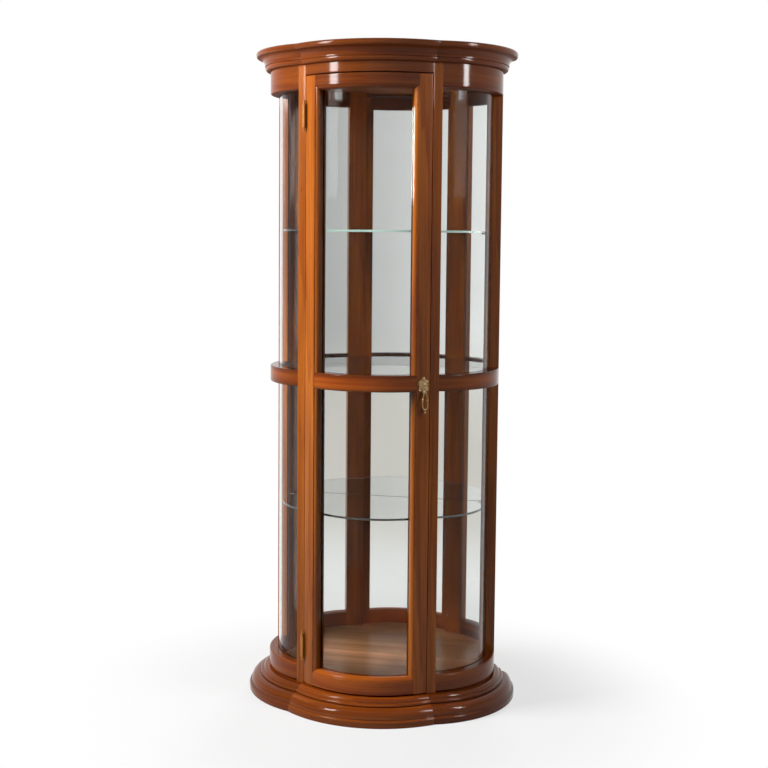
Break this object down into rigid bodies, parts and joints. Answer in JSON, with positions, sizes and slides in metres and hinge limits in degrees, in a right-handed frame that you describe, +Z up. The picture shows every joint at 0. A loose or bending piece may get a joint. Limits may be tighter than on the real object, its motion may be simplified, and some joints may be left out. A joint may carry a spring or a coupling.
{
  "type": "display cabinet",
  "caption": "Tall half-round curio cabinet in lacquered wood with a bent-glass door, bent-glass sides, mirror back, glass shelves, moulded plinth and cornice.",
  "frame": {"origin": "centre of the bounding box in plan, on the ground", "axes": "+Z up, -Y out through the door, +X to the right seen from the front"},
  "size_m": [0.7854, 0.4248, 1.85],
  "materials": {
    "cherry_wood": "gloss lacquer over stained cherry",
    "clear_glass": "clear, polished edges",
    "silvered_glass": "silvered back",
    "brass": "aged, lightly polished",
    "steel": "plain"
  },
  "bodies": {
    "carcase": {"back_panel": "cherry_wood", "back_screws": "steel", "base_board": "cherry_wood", "catch_magnets": "steel", "ceiling_board": "cherry_wood", "cornice_back": "cherry_wood", "cornice_front": "cherry_wood", "cornice_left": "cherry_wood", "cornice_right": "cherry_wood", "floor_board": "cherry_wood", "frieze_front": "cherry_wood", "frieze_left": "cherry_wood", "frieze_right": "cherry_wood", "glass_left_lower": "clear_glass", "glass_left_upper": "clear_glass", "glass_right_lower": "clear_glass", "glass_right_upper": "clear_glass", "hinge_pin_lower": "brass", "hinge_pin_upper": "brass", "hinge_post_lower": "brass", "hinge_post_upper": "brass", "hinge_screws_post": "brass", "mirror": "silvered_glass", "plinth_back": "cherry_wood", "plinth_front": "cherry_wood", "plinth_left": "cherry_wood", "plinth_right": "cherry_wood", "post_back_left": "cherry_wood", "post_back_right": "cherry_wood", "post_front_left": "cherry_wood", "post_front_right": "cherry_wood", "rail_bottom_left": "cherry_wood", "rail_bottom_right": "cherry_wood", "rail_mid_left": "cherry_wood", "rail_mid_right": "cherry_wood", "shelf_lower": "clear_glass", "shelf_middle": "clear_glass", "shelf_pins": "brass", "shelf_upper": "clear_glass", "top_panel": "cherry_wood"},
    "door": {"catch_strikes": "steel", "door_glass_lower": "clear_glass", "door_glass_upper": "clear_glass", "door_rail_bottom": "cherry_wood", "door_rail_mid": "cherry_wood", "door_rail_top": "cherry_wood", "door_stile_hinge": "cherry_wood", "door_stile_lock": "cherry_wood", "hinge_door_lower": "brass", "hinge_door_upper": "brass", "hinge_screws_door": "brass", "pull_plate": "brass", "pull_stud": "brass"},
    "drop": {"pull_drop": "brass"}
  },
  "joints": [
    {"name": "door_hinge", "type": "hinge", "parent": "carcase", "child": "door", "pos_m": [-0.18087, -0.09371, 0.918], "axis": [0, 0, -1], "range_deg": [0, 110]},
    {"name": "drop_swing", "type": "hinge", "parent": "door", "child": "drop", "pos_m": [0.1677, -0.1099, 0.9105], "axis": [-0.8055, -0.5926, 0], "range_deg": [0, 80]}
  ]
}
